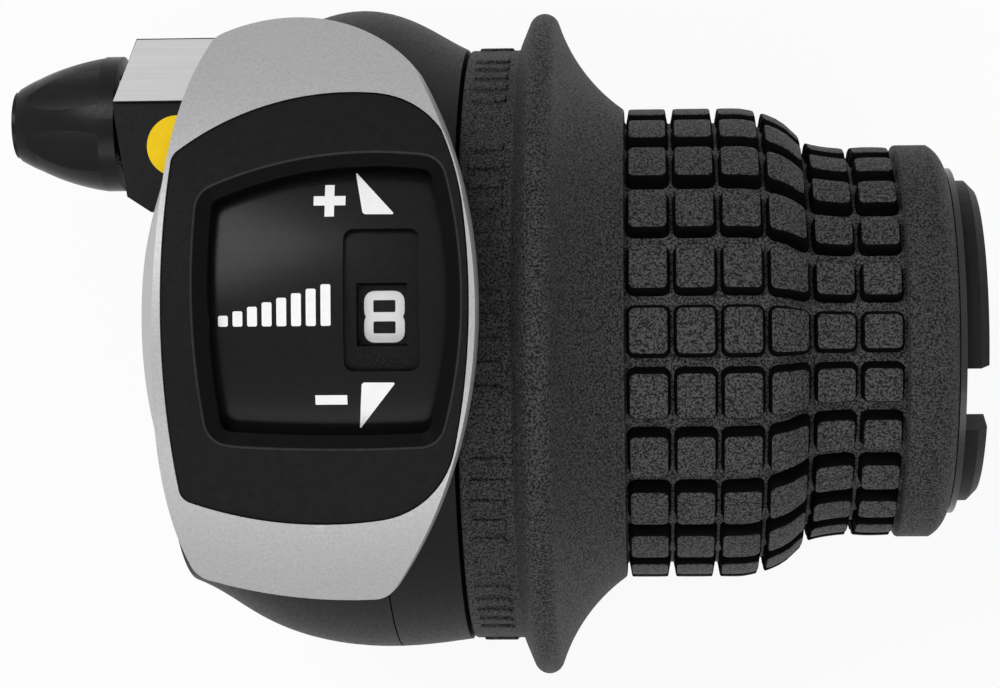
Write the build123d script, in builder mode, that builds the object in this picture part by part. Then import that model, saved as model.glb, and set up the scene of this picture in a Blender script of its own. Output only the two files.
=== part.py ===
from build123d import *
from math import atan2, cos, degrees, hypot, pi, radians, sin, sqrt, tan
import os

os.makedirs("parts", exist_ok=True)

# Frame: X runs along the handlebar towards its end, Y forward, Z up through the display.
# The origin is on the bar axis, at the parting plane between the fixed head and the turning grip.

# Fits and clearances
bar_clearance = 0.05
running_clearance = 0.1
seat_gap = 0.12
turning_gap = 0.35
overcut = 1.0

# Bar sleeve and its snap claws
bar_diameter = 22.2
sleeve_wall = 1.45
claw_radius = 14.75
claw_length = 2.0
claw_chamfer = 0.8
claw_count = 3
claw_slot_width = 5.8
claw_slot_length = 10.0
claw_slot_angle = 21.0

# Black head body: place along the bar, centre forward of the bar, radius
body_stations = (
    (0.0, 0.0, 27.3),
    (-4.0, 0.85, 28.65),
    (-8.5, 1.5, 29.45),
    (-13.0, 1.5, 28.95),
    (-19.0, 0.7, 26.1),
    (-25.5, -0.2, 21.6),
)
body_wall = 1.8
collar_wall = 1.8
collar_seam_x = -6.2
side_seam_y = 12.0
tongue_length = 3.6
tongue_wall = 2.0

# Silver cover around the display
cover_wall = 1.8
cover_rim_z = 12.6
body_top_z = 20.0
cover_top_left = (-20.3, 26.3)
cover_top_right = (-3.2, 23.5)
cover_bottom_right = (-5.9, -21.6)
cover_bottom_left = (-22.15, -19.55)
cover_top_bulge = (-12.5, 28.0)
cover_right_bulge = (2.35, 3.25)
cover_bottom_bulge = (-13.5, -21.45)
cover_left_low = (-28.9, 2.4)
cover_left_high = (-23.95, 2.4)
cover_corner_round = 2.3
band_headroom = 0.7
bar_arch_gap = 0.8

# Dome that the cover, the bezel and the panel follow
dome_radius = 33.0
dome_axis_y = 3.0
dome_axis_z = 1.0
dome_middle_x = -10.0
dome_reach = 22.0
dome_crown_drop = 2.4

# Bezel and its recess
bezel_sink = 0.15
bezel_depth = 3.55
bezel_flange = 1.2
bezel_top_left = (-22.75, 15.75)
bezel_top_right = (-0.62, 19.65)
bezel_bottom_right = (-0.93, -13.35)
bezel_bottom_left = (-22.45, -12.65)
bezel_top_bulge = (-9.0, 20.9)
bezel_right_bulge = (1.75, 3.25)
bezel_bottom_bulge = (-11.0, -14.8)
bezel_left_bulge = (-23.35, 2.4)
bezel_left_round = 1.2
bezel_right_round = 7.5

# Display panel, its window and the recess above it
panel_sink = 2.6
panel_thickness = 1.0
panel_ledge = 0.8
panel_top_left = (-19.45, 11.9)
panel_top_right = (-1.5, 14.4)
panel_bottom_right = (-1.7, -7.25)
panel_bottom_left = (-18.8, -7.0)
panel_top_bulge = (-9.0, 14.6)
panel_right_bulge = (0.0, 3.8)
panel_bottom_bulge = (-10.0, -7.4)
panel_left_bulge = (-19.65, 3.0)
panel_corner_round = 0.9
recess_slope = 35.0
recess_slope_depth = 1.4
window_width = 6.0
window_height = 11.5
window_centre = (-5.5, 3.7)
window_corner = 0.7
window_thickness = 0.6
window_rim_sink = 0.1
aperture_width = 4.2
aperture_height = 5.2

# Number wheel and its gears
wheel_centre_x = -4.9
wheel_axis_y = 2.5
wheel_width = 5.4
wheel_faces = 9
wheel_corner_radius = 7.1
wheel_clearance = 0.3
axle_radius = 1.0
axle_head_radius = 1.9
axle_head_length = 0.6
pinion_teeth = 12
drum_teeth = 48
sector_first_tooth = -2
sector_last_tooth = 12
gear_width = 2.4
pressure_angle = 20.0
gear_addendum = 0.7
pinion_addendum = 1.0
gear_dedendum = 1.25
backlash = 0.14

# Winding drum
steps = 7
step_angle = 10.0
pull_per_step = 2.8
cable_radius = 0.6
spool_flange_radius = 19.4
spool_flange = 1.0
spool_groove = 1.6
index_radius = 18.4
index_width = 2.2
notch_radius = 1.0
notch_centre_rise = 0.5
drum_key_count = 3
drum_key_width = 2.6
drum_key_depth = 3.0
nipple_radius = 2.2

# Thrust washer, inboard wall and bar clamp
washer_radius = 17.5
washer_thickness = 0.9
web_thickness = 1.6
web_radius = 21.4
clamp_width = 6.8
clamp_radius = 14.4
clamp_slit = 2.4
lug_half_width = 7.0
lug_bottom_z = -18.6
clamp_bolt_z = -15.2
clamp_bolt_radius = 2.0
clamp_head_radius = 3.5
clamp_head_length = 3.6
clamp_key = 3.0
clamp_head_sink = 1.6
nut_side = 7.0
nut_thickness = 3.2
nut_wall = 0.8
key_access_radius = 2.6

# Detent spring
leaf_thickness = 0.5
leaf_half_length = 10.0
leaf_nose_radius = 0.8
rest_rib_y = 8.6
rest_rib_width = 1.8

# Cover screws
screw_radius = 1.1
screw_length = 4.2
screw_head_radius = 2.1
screw_head_length = 1.1
screw_head_sink = 0.6
screw_angles = (196.0, 248.0)

# Cable boss
boss_top_z = 11.0
boss_bottom_z = -3.5
boss_outer_y = 28.2
boss_left_x = -31.6
boss_right_x = -19.0
boss_lower_corner = (-30.3, 13.5)
boss_lower_end_x = -28.2
boss_upper_left_x = -30.2
boss_flat_end_x = -22.1
plate_edge_y = 21.85
plate_drop = 4.6
plate_thickness = 0.8
plate_inset = 0.2
label_radius = 2.75
label_thickness = 0.15
label_centre = (-25.7, 18.0)

# Cable adjuster
adjuster_y = 20.6
adjuster_z = 4.0
barrel_length = 9.6
barrel_radius = 6.2
barrel_middle = (5.9, 5.1)
barrel_tip_radius = 4.3
barrel_tip_round = 1.9
barrel_tip_face = 3.35
barrel_skirt = 1.6
flute_count = 6
flute_start = 0.9
flute_slant = 13.0
flute_cutter_radius = 5.0
flute_depth = 0.75
adjuster_bolt_radius = 2.9
adjuster_bolt_engagement = 7.0
cable_hole_radius = 1.0
stop_radius = 3.05
stop_proud = 0.4
housing_radius = 2.5
housing_clearance = 0.05
housing_depth = 5.0
spring_seat_radius = 4.7
spring_seat_depth = 3.0
spring_radius = 3.75
spring_wire = 0.35
spring_turns = 3
guide_radius = 1.5
guide_bore = 0.9
guide_seat = 2.4
guide_bend = 2.6

# Rubber grip and its core
core_wall = 2.2
core_neck_radius = 14.3
core_flange_radius = 24.6
core_flange_x = 5.4
core_flange_wall = 1.8
core_bead_radius = 15.9
core_bead_length = 0.6
bond_gap = 0.05
band_radius = 27.2
band_end_x = 4.95
flank_top = (5.85, 29.6)
flange_tip = (7.05, 30.5)
flare_start = (8.35, 29.6)
flare_middle = (10.5, 25.35)
flare_end = (14.15, 21.7)
grip_end_x = 43.4
floor_radius = 20.65
floor_slope_start_x = 26.1
waist_radius = 17.1
waist_start_x = 30.4
waist_end_radius = 16.9
end_ring_x = 38.85
end_ring_radius = 18.05
end_ring_flat = 2.6
end_ring_shoulder = (42.95, 17.3)
end_ring_face_radius = 16.1
block_rows = 26
block_columns = 6
block_first_x = 14.7
block_pitch = 4.03
block_gap = 0.7
block_height = 1.0
block_root = 0.6
block_draft = 9.0
block_corner = 0.6
block_phase = -2.8

# Derived sizes
sleeve_bore = bar_diameter / 2 + bar_clearance
sleeve_radius = sleeve_bore + sleeve_wall
core_bore = sleeve_radius + running_clearance
core_radius = core_bore + core_wall
core_end_x = grip_end_x + core_bead_length
claw_x = core_end_x + seat_gap
sleeve_end_x = claw_x + claw_length
wheel_left_x = wheel_centre_x - wheel_width / 2
gear_right_x = wheel_left_x - wheel_clearance
gear_left_x = gear_right_x - gear_width
index_right_x = gear_left_x - turning_gap
index_left_x = index_right_x - index_width
index_middle_x = index_right_x - index_width / 2
groove_right_x = index_left_x - spool_flange
groove_left_x = groove_right_x - spool_groove
drum_left_x = groove_left_x - spool_flange
drum_socket_x = gear_left_x - drum_key_depth / 4
washer_right_x = drum_left_x - running_clearance
washer_left_x = washer_right_x - washer_thickness
web_right_x = washer_left_x - running_clearance
web_left_x = web_right_x - web_thickness
clamp_left_x = web_left_x - clamp_width
clamp_bolt_x = web_left_x - clamp_width / 2
pull_radius = pull_per_step / radians(step_angle)
body_end_x = body_stations[-1][0]
dome_crown_z = dome_axis_z + dome_radius
panel_bottom_sink = panel_sink + panel_thickness
wheel_axis_z = dome_crown_z - panel_bottom_sink - turning_gap - wheel_clearance - wheel_corner_radius
gear_centres = hypot(wheel_axis_y, wheel_axis_z)
module = 2 * gear_centres / (pinion_teeth + drum_teeth)
mesh_angle = degrees(atan2(wheel_axis_z, wheel_axis_y))
barrel_base_x = boss_left_x - seat_gap
barrel_tip_x = barrel_base_x - barrel_length
barrel_floor_x = barrel_tip_x + housing_depth + stop_proud
boss_inner_y = side_seam_y + seat_gap
leaf_middle_z = -(index_radius + notch_centre_rise + leaf_thickness / 2 + seat_gap)
beyond = 60.0


def along_x(x):
    """The plane across the bar at x, with Y to the right and Z up."""
    return Plane.YZ.offset(x)


def across_x(x, y, z):
    """The plane across a shaft parallel to the bar, centred on that shaft."""
    return Plane(origin=(x, y, z), x_dir=(0, 1, 0), z_dir=(1, 0, 0))


def spin(angle):
    """A turn about the bar axis, in degrees."""
    return Location((0, 0, 0), (angle, 0, 0))


def save(piece, label):
    """Name a finished piece and write it."""
    piece.label = label
    export_step(piece, f"parts/{label}.step")


def body_form(inset):
    """The black head body, drawn in by an inset, as circles lofted along the bar."""
    with BuildPart() as form:
        for x, centre, radius in body_stations:
            with BuildSketch(along_x(x)):
                with Locations((centre, 0)):
                    Circle(radius - inset)
        loft()
    return form.part


def body_shell(outer, inner, left_x, right_x):
    """A stretch of the black body's wall, between two depths and two places along the bar."""
    with BuildPart() as form:
        add(body_form(outer))
        add(body_form(inner), mode=Mode.SUBTRACT)
        with BuildSketch(along_x(left_x)):
            Rectangle(2 * beyond, 2 * beyond)
        extrude(amount=right_x - left_x, mode=Mode.INTERSECT)
    return form.part


def dome_form(sink):
    """A barrel dome under the display surface, sunk by a depth."""
    middle = dome_radius - sink
    side = middle - dome_crown_drop
    left_x = dome_middle_x - dome_reach
    right_x = dome_middle_x + dome_reach
    with BuildPart() as form:
        with BuildSketch(Plane.XZ.offset(-dome_axis_y)):
            with BuildLine():
                ThreePointArc(
                    (left_x, dome_axis_z + side),
                    (dome_middle_x, dome_axis_z + middle),
                    (right_x, dome_axis_z + side),
                )
                Polyline(
                    (right_x, dome_axis_z + side),
                    (right_x, dome_axis_z),
                    (left_x, dome_axis_z),
                    (left_x, dome_axis_z + side),
                )
            make_face()
        revolve(axis=Axis((0, dome_axis_y, dome_axis_z), (1, 0, 0)))
    return form.part


def crossing(first, second, near):
    """The point where two circles, each a centre and a radius, cross nearest to a point."""
    span = second[0] - first[0]
    along = (first[1] ** 2 - second[1] ** 2 + span.length**2) / (2 * span.length)
    across = sqrt(first[1] ** 2 - along**2)
    forth = span.normalized()
    side = Vector(-forth.Y, forth.X) * across
    middle = first[0] + forth * along
    return min(middle + side, middle - side, key=lambda point: (point - near).length)


def four_arcs(corners, bulges, grow):
    """A closed outline of four arcs, corner to corner through bulge points, grown by a margin."""
    ends = [Vector(corner) for corner in corners]
    tops = [Vector(bulge) for bulge in bulges]
    circles = []
    for index, top in enumerate(tops):
        arc = Edge.make_three_point_arc(ends[index], top, ends[(index + 1) % 4])
        circles.append((arc.arc_center, arc.radius + grow))
    grown = [crossing(circles[index - 1], circles[index], end) for index, end in enumerate(ends)]
    for index, (centre, radius) in enumerate(circles):
        through = centre + (tops[index] - centre).normalized() * radius
        ThreePointArc(grown[index], through, grown[(index + 1) % 4])


cover_corners = (cover_top_left, cover_top_right, cover_bottom_right, cover_bottom_left)
bezel_corners = (bezel_top_left, bezel_top_right, bezel_bottom_right, bezel_bottom_left)
bezel_bulges = (bezel_top_bulge, bezel_right_bulge, bezel_bottom_bulge, bezel_left_bulge)
bezel_rounds = (bezel_left_round, bezel_right_round, bezel_right_round, bezel_left_round)
panel_corners = (panel_top_left, panel_top_right, panel_bottom_right, panel_bottom_left)
panel_bulges = (panel_top_bulge, panel_right_bulge, panel_bottom_bulge, panel_left_bulge)
panel_rounds = (panel_corner_round,) * len(panel_corners)


def cover_form(inset):
    """The cover's outer form, drawn in by an inset: a drafted outline under the dome."""
    with BuildPart() as form:
        for height, left_bulge in ((cover_rim_z, cover_left_low), (dome_crown_z, cover_left_high)):
            with BuildSketch(Plane.XY.offset(height)):
                with BuildLine():
                    four_arcs(
                        cover_corners,
                        (cover_top_bulge, cover_right_bulge, cover_bottom_bulge, left_bulge),
                        -inset,
                    )
                make_face()
                fillet(vertices(), cover_corner_round - inset)
        loft(ruled=True)
        extrude(form.faces().sort_by(Axis.Z)[0], amount=overcut)
        add(dome_form(inset), mode=Mode.INTERSECT)
    return form.part


def display_form(corners, bulges, rounds, grow, top_sink, bottom_sink):
    """A rounded outline of four arcs, grown by a margin, between two depths under the dome."""
    with BuildPart() as form:
        with BuildSketch():
            with BuildLine():
                four_arcs(corners, bulges, grow)
            make_face()
            for corner, corner_round in zip(corners, rounds):
                fillet(vertices().sort_by_distance(corner)[0], corner_round + grow)
        extrude(amount=beyond)
        add(dome_form(top_sink), mode=Mode.INTERSECT)
        add(dome_form(bottom_sink), mode=Mode.SUBTRACT)
    return form.part


def bezel_form(grow, top_sink, bottom_sink):
    """The bezel's outline between two depths."""
    return display_form(bezel_corners, bezel_bulges, bezel_rounds, grow, top_sink, bottom_sink)


def panel_form(grow, top_sink, bottom_sink):
    """The panel's outline between two depths."""
    return display_form(panel_corners, panel_bulges, panel_rounds, grow, top_sink, bottom_sink)


def window_form(grow, top_sink, bottom_sink):
    """The window's outline between two depths."""
    with BuildPart() as form:
        with BuildSketch():
            with Locations(window_centre):
                RectangleRounded(window_width + 2 * grow, window_height + 2 * grow, window_corner + grow)
        extrude(amount=beyond)
        add(dome_form(top_sink), mode=Mode.INTERSECT)
        add(dome_form(bottom_sink), mode=Mode.SUBTRACT)
    return form.part


def gear_tooth(teeth, addendum):
    """One involute tooth on the line of the local x axis, from under its root to its tip."""
    pitch = module * teeth / 2
    base = pitch * cos(radians(pressure_angle))
    tip = pitch + addendum * module
    root = pitch - gear_dedendum * module

    def involute(radius):
        roll = sqrt(max(radius / base, 1) ** 2 - 1)
        return roll - atan2(roll, 1)

    half = (pi * module / 2 - backlash) / (2 * pitch)
    flank = []
    for share in (0, 0.33, 0.67, 1):
        radius = max(base, root) + (tip - max(base, root)) * share
        turn = half + involute(pitch) - involute(radius)
        flank.append((radius * cos(turn), radius * sin(turn)))
    foot_turn = atan2(flank[0][1], flank[0][0])
    foot_radius = root - module / 2
    foot = (foot_radius * cos(foot_turn), foot_radius * sin(foot_turn))
    with BuildSketch(mode=Mode.PRIVATE) as tooth:
        with BuildLine():
            Line(foot, flank[0])
            Polyline(*flank)
            Line(flank[-1], (flank[-1][0], -flank[-1][1]))
            Polyline(*[(x, -y) for x, y in reversed(flank)])
            Line((flank[0][0], -flank[0][1]), (foot[0], -foot[1]))
            Line((foot[0], -foot[1]), foot)
        make_face()
    return tooth.sketch


def boss_form(inset):
    """The cable boss, with its slanted left side and the slope that carries the plate."""
    with BuildPart() as form:
        with BuildSketch():
            with BuildLine():
                Polyline(
                    (boss_right_x, boss_outer_y),
                    (boss_upper_left_x + inset, boss_outer_y),
                    (boss_left_x + inset, plate_edge_y),
                    (boss_lower_corner[0] + inset, boss_lower_corner[1]),
                    (boss_lower_end_x + inset, boss_inner_y),
                    (boss_right_x, boss_inner_y),
                    close=True,
                )
            make_face()
        extrude(amount=beyond, both=True)
        with BuildSketch(along_x(boss_left_x)):
            with BuildLine():
                Polyline(
                    (boss_inner_y, boss_top_z),
                    (plate_edge_y, boss_top_z),
                    (boss_outer_y, boss_top_z - plate_drop),
                    (boss_outer_y, boss_bottom_z + plate_drop),
                    (plate_edge_y, boss_bottom_z),
                    (boss_inner_y, boss_bottom_z),
                    close=True,
                )
            make_face()
        extrude(amount=boss_right_x - boss_left_x, mode=Mode.INTERSECT)
    return form.part


# Screw places under the head: on the second widest station of the body, square to its surface
screw_x, screw_centre, screw_reach = body_stations[2]


def screw_plane(angle):
    """The plane of a screw head's seat, looking out of the body."""
    out = (0, cos(radians(angle)), sin(radians(angle)))
    seat = screw_reach - screw_head_sink
    return Plane(
        origin=(screw_x, screw_centre + seat * out[1], seat * out[2]),
        x_dir=(1, 0, 0),
        z_dir=out,
    )


# Walls of the body, split between the housing and the lower cover
with BuildPart() as forward_wall:
    add(body_shell(0, body_wall, body_end_x, collar_seam_x))
    with BuildSketch(Plane.XY.offset(body_top_z)):
        with Locations((0, boss_inner_y)):
            Rectangle(2 * beyond, beyond, align=(Align.CENTER, Align.MIN))
    extrude(amount=-2 * beyond, mode=Mode.INTERSECT)

with BuildPart() as rear_wall:
    add(body_shell(0, body_wall, body_end_x, collar_seam_x - seat_gap))
    with BuildSketch(along_x(body_end_x)):
        with Locations((body_stations[-1][1], 0)):
            Circle(body_stations[-1][2] - body_wall / 2)
    extrude(amount=body_wall)
    with BuildSketch(Plane.XY.offset(body_top_z)):
        with Locations((0, side_seam_y)):
            Rectangle(2 * beyond, beyond, align=(Align.CENTER, Align.MAX))
    extrude(amount=-2 * beyond, mode=Mode.INTERSECT)

# Tongue under the collar that the lower cover is screwed to
with BuildPart() as tongue:
    tongue_depth = body_wall + seat_gap + tongue_wall
    add(body_shell(body_wall + seat_gap, tongue_depth, collar_seam_x - tongue_length, collar_seam_x))
    add(body_shell(body_wall / 2, tongue_depth, collar_seam_x, collar_seam_x + tongue_wall))
    with BuildSketch(Plane.XY.offset(cover_rim_z)):
        with Locations((0, side_seam_y)):
            Rectangle(2 * beyond, beyond, align=(Align.CENTER, Align.MAX))
    extrude(amount=-2 * beyond, mode=Mode.INTERSECT)

# Housing: collar, forward wall, bar sleeve with claws, bar clamp and cable boss
with BuildPart() as housing:
    add(forward_wall.part)
    add(body_shell(0, body_wall, collar_seam_x, 0))
    add(tongue.part)
    with BuildSketch(along_x(-collar_wall)):
        Circle(body_stations[0][2] - body_wall / 2)
        Circle(core_neck_radius + turning_gap, mode=Mode.SUBTRACT)
    extrude(amount=collar_wall)
    # Inboard web, with the arm that reaches the forward wall
    with BuildSketch(along_x(web_left_x)):
        Circle(web_radius)
    extrude(amount=web_thickness)
    with BuildSketch(along_x(web_left_x)):
        with Locations((body_stations[4][1], 0)):
            Circle(body_stations[4][2] - body_wall / 2)
        with Locations((boss_inner_y, body_top_z)):
            Rectangle(beyond, 2 * body_top_z, align=(Align.MIN, Align.MAX), mode=Mode.INTERSECT)
    extrude(amount=web_thickness)
    # Cable boss, with a flat top that runs in under the silver cover
    with BuildSketch(Plane.XY.offset(boss_top_z)):
        with Locations((boss_flat_end_x, boss_inner_y)):
            Rectangle(beyond, beyond, align=(Align.MAX, Align.MIN))
    extrude(amount=beyond, mode=Mode.SUBTRACT)
    add(boss_form(0))
    # Bar clamp with two lugs
    with BuildSketch(along_x(clamp_left_x)):
        Circle(clamp_radius)
        with Locations((0, lug_bottom_z)):
            Rectangle(2 * lug_half_width, -lug_bottom_z, align=(Align.CENTER, Align.MIN))
    extrude(amount=clamp_width)
    # Sleeve and claws
    with BuildSketch(Plane.XZ):
        with BuildLine():
            Polyline(
                (clamp_left_x, 0),
                (clamp_left_x, sleeve_radius),
                (claw_x, sleeve_radius),
                (claw_x, claw_radius),
                (sleeve_end_x - claw_chamfer, claw_radius),
                (sleeve_end_x, claw_radius - claw_chamfer),
                (sleeve_end_x, 0),
                close=True,
            )
        make_face()
    revolve(axis=Axis.X)
    # Bore, clamp slit and the slots that free the claws
    with BuildSketch(along_x(clamp_left_x)):
        Circle(sleeve_bore)
    extrude(amount=sleeve_end_x - clamp_left_x, mode=Mode.SUBTRACT)
    with BuildSketch(along_x(clamp_left_x)):
        Rectangle(clamp_slit, beyond, align=(Align.CENTER, Align.MAX))
    extrude(amount=clamp_width, mode=Mode.SUBTRACT)
    with BuildSketch(Plane.XY, mode=Mode.PRIVATE) as claw_slot:
        with Locations((sleeve_end_x - claw_slot_length, 0)):
            Rectangle(2 * claw_slot_length, claw_slot_width, align=(Align.MIN, Align.CENTER))
    for turn in range(claw_count):
        extrude(
            claw_slot.sketch.moved(spin(claw_slot_angle + turn * 360 / claw_count)),
            amount=2 * claw_radius,
            mode=Mode.SUBTRACT,
        )
    # Clamp bolt hole, head seat and nut slot
    with BuildSketch(Plane(origin=(clamp_bolt_x, -beyond, clamp_bolt_z), x_dir=(1, 0, 0), z_dir=(0, 1, 0))):
        Circle(clamp_bolt_radius + running_clearance)
    extrude(amount=beyond + lug_half_width, mode=Mode.SUBTRACT)
    with BuildSketch(Plane(origin=(clamp_bolt_x, -beyond, clamp_bolt_z), x_dir=(1, 0, 0), z_dir=(0, 1, 0))):
        Circle(clamp_head_radius + running_clearance)
    extrude(amount=beyond - lug_half_width + clamp_head_sink, mode=Mode.SUBTRACT)
    with Locations((clamp_bolt_x, lug_half_width - nut_wall - nut_thickness / 2, clamp_bolt_z)):
        Box(
            clamp_width + overcut,
            nut_thickness + 2 * running_clearance,
            nut_side + 2 * running_clearance,
            mode=Mode.SUBTRACT,
        )
    # Adjuster thread, cable hole and guide seat
    with BuildSketch(across_x(boss_left_x - overcut, adjuster_y, adjuster_z)):
        Circle(adjuster_bolt_radius + running_clearance)
    extrude(amount=adjuster_bolt_engagement + 2 * overcut, mode=Mode.SUBTRACT)
    with BuildSketch(across_x(boss_left_x, adjuster_y, adjuster_z)):
        Circle(guide_radius + bond_gap)
    extrude(amount=web_right_x - boss_left_x + overcut, mode=Mode.SUBTRACT)
    # Number wheel: room in the collar and a seat for the axle
    with BuildSketch(across_x(collar_seam_x - overcut, wheel_axis_y, wheel_axis_z)):
        Circle(wheel_corner_radius + turning_gap)
        Rectangle(2 * (wheel_corner_radius + turning_gap), beyond, align=(Align.CENTER, Align.MIN))
    extrude(amount=-collar_wall - collar_seam_x + overcut, mode=Mode.SUBTRACT)
    with BuildSketch(across_x(-collar_wall, wheel_axis_y, wheel_axis_z)):
        Circle(axle_radius)
    extrude(amount=collar_wall, mode=Mode.SUBTRACT)
    # Screw holes in the tongue
    for angle in screw_angles:
        with BuildSketch(screw_plane(angle)):
            Circle(screw_radius)
        extrude(amount=-screw_length - overcut, mode=Mode.SUBTRACT)
save(housing.part, "housing")

# Lower cover and the ribs inside it
with BuildPart() as rest_ribs:
    # Ribs that the detent spring rests on
    with BuildSketch(Plane.XY.offset(leaf_middle_z - leaf_thickness / 2 - seat_gap)):
        with Locations((index_middle_x, rest_rib_y), (index_middle_x, -rest_rib_y)):
            Rectangle(index_width, rest_rib_width)
    extrude(amount=-(body_stations[2][2] + leaf_middle_z))
    add(body_form(body_wall / 2), mode=Mode.INTERSECT)

with BuildPart() as lower_cover:
    add(rear_wall.part)
    add(rest_ribs.part)
    # Room for the clamp, the lugs and the bolt head
    with BuildSketch(along_x(body_end_x)):
        Circle(clamp_radius + turning_gap)
        with Locations((-lug_half_width - clamp_head_length, lug_bottom_z - turning_gap)):
            Rectangle(
                2 * lug_half_width + clamp_head_length + turning_gap,
                -lug_bottom_z,
                align=(Align.MIN, Align.MIN),
            )
    extrude(amount=body_wall, mode=Mode.SUBTRACT)
    with BuildSketch(Plane(origin=(clamp_bolt_x, 0, clamp_bolt_z), x_dir=(1, 0, 0), z_dir=(0, -1, 0))):
        Circle(key_access_radius)
    extrude(amount=beyond, mode=Mode.SUBTRACT)
    for angle in screw_angles:
        with BuildSketch(screw_plane(angle)):
            Circle(screw_radius + running_clearance)
        extrude(amount=-screw_length, mode=Mode.SUBTRACT)
        with BuildSketch(screw_plane(angle)):
            Circle(screw_head_radius + running_clearance)
        extrude(amount=screw_length, mode=Mode.SUBTRACT)
save(lower_cover.part, "lower_cover")

# Silver cover
with BuildPart() as upper_cover:
    add(cover_form(0))
    add(cover_form(cover_wall), mode=Mode.SUBTRACT)
    split(bisect_by=Plane.XY.offset(cover_rim_z))
    add(body_form(-seat_gap), mode=Mode.SUBTRACT)
    add(bezel_form(seat_gap, -overcut, bezel_sink + bezel_depth + seat_gap), mode=Mode.SUBTRACT)
    with BuildSketch(along_x(-turning_gap)):
        Circle(band_radius + band_headroom)
    extrude(amount=beyond, mode=Mode.SUBTRACT)
    with BuildSketch(along_x(-beyond)):
        Circle(clamp_radius + bar_arch_gap)
    extrude(amount=beyond, mode=Mode.SUBTRACT)
save(upper_cover.part, "upper_cover")

# Bezel, with a flange that catches behind the cover's wall
with BuildPart() as bezel:
    add(bezel_form(bezel_flange, cover_wall + seat_gap, bezel_sink + bezel_depth))
    add(cover_form(cover_wall + seat_gap), mode=Mode.INTERSECT)
    add(bezel_form(0, bezel_sink, bezel_sink + bezel_depth))
    add(body_form(-seat_gap), mode=Mode.SUBTRACT)
    add(panel_form(panel_ledge + seat_gap, panel_sink - seat_gap, dome_radius / 2), mode=Mode.SUBTRACT)
    add(panel_form(0, -overcut, dome_radius / 2), mode=Mode.SUBTRACT)
    # Sloped walls of the recess
    top_face = bezel.faces().sort_by(Axis.Z)[-1]
    slope_width = recess_slope_depth * tan(radians(recess_slope))
    chamfer(top_face.inner_wires()[0].edges(), slope_width, recess_slope_depth)
save(bezel.part, "bezel")

# Display panel, with the window's pocket and the aperture over the number wheel
with BuildPart() as display_panel:
    add(panel_form(panel_ledge, panel_sink, panel_bottom_sink))
    window_floor = panel_sink + window_rim_sink + window_thickness
    add(window_form(seat_gap, panel_sink - overcut, window_floor + bond_gap), mode=Mode.SUBTRACT)
    with BuildSketch():
        with Locations((window_centre[0], wheel_axis_y)):
            Rectangle(aperture_width, aperture_height)
    extrude(amount=beyond, mode=Mode.SUBTRACT)
save(display_panel.part, "display_panel")

# Clear window
window_lens = window_form(0, panel_sink + window_rim_sink, window_floor)
save(window_lens, "window_lens")

# Silver plate on the boss
with BuildPart() as outlet_plate:
    with BuildSketch(along_x(boss_left_x)):
        with BuildLine():
            Polyline(
                (plate_edge_y, boss_top_z + bond_gap),
                (plate_edge_y, boss_top_z + plate_thickness),
                (boss_outer_y, boss_top_z - plate_drop + plate_thickness),
                (boss_outer_y, boss_top_z - plate_drop + bond_gap),
                close=True,
            )
        make_face()
    extrude(amount=boss_right_x - boss_left_x)
    with BuildSketch():
        with BuildLine():
            Polyline(
                (boss_right_x, boss_outer_y - plate_inset),
                (boss_upper_left_x + plate_inset, boss_outer_y - plate_inset),
                (boss_left_x + plate_inset, plate_edge_y + plate_inset),
                (boss_right_x, plate_edge_y + plate_inset),
                close=True,
            )
        make_face()
    extrude(amount=beyond, mode=Mode.INTERSECT)
    add(body_form(-seat_gap), mode=Mode.SUBTRACT)
save(outlet_plate.part, "outlet_plate")

# Round label on the boss
with BuildPart() as round_label:
    with BuildSketch(Plane.XY.offset(boss_top_z + bond_gap)):
        with Locations(label_centre):
            Circle(label_radius)
    extrude(amount=label_thickness)
save(round_label.part, "round_label")

# Bar clamp bolt and nut
clamp_seat_y = -lug_half_width + clamp_head_sink
clamp_tip_y = lug_half_width - nut_wall / 2
with BuildPart() as clamp_bolt:
    head_plane = Plane(origin=(clamp_bolt_x, clamp_seat_y, clamp_bolt_z), x_dir=(1, 0, 0), z_dir=(0, -1, 0))
    with BuildSketch(head_plane):
        Circle(clamp_head_radius)
    extrude(amount=clamp_head_length)
    with BuildSketch(head_plane):
        Circle(clamp_bolt_radius)
    extrude(amount=clamp_seat_y - clamp_tip_y)
    with BuildSketch(head_plane.offset(clamp_head_length)):
        RegularPolygon(clamp_key / 2, 6, major_radius=False)
    extrude(amount=-clamp_head_length / 2, mode=Mode.SUBTRACT)
save(clamp_bolt.part, "clamp_bolt")

with BuildPart() as clamp_nut:
    with Locations((clamp_bolt_x, lug_half_width - nut_wall - nut_thickness / 2, clamp_bolt_z)):
        Box(nut_side, nut_thickness, nut_side)
    with BuildSketch(Plane(origin=(clamp_bolt_x, 0, clamp_bolt_z), x_dir=(1, 0, 0), z_dir=(0, 1, 0))):
        Circle(clamp_bolt_radius + bond_gap)
    extrude(amount=beyond, mode=Mode.SUBTRACT)
save(clamp_nut.part, "clamp_nut")

# Screws of the lower cover
with BuildPart() as cover_screws:
    for angle in screw_angles:
        with BuildSketch(screw_plane(angle)):
            Circle(screw_head_radius)
        extrude(amount=screw_head_length)
        with BuildSketch(screw_plane(angle)):
            Circle(screw_radius - bond_gap)
        extrude(amount=-screw_length)
save(cover_screws.part, "cover_screws")

# Detent spring: a leaf whose nose sits in an index notch
with BuildPart() as detent_spring:
    with BuildSketch(along_x(index_left_x + running_clearance)):
        with Locations((0, leaf_middle_z)):
            Rectangle(2 * leaf_half_length, leaf_thickness)
        with Locations((0, -index_radius - notch_centre_rise)):
            Circle(leaf_nose_radius)
    extrude(amount=index_width - 2 * running_clearance)
save(detent_spring.part, "detent_spring")

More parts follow.
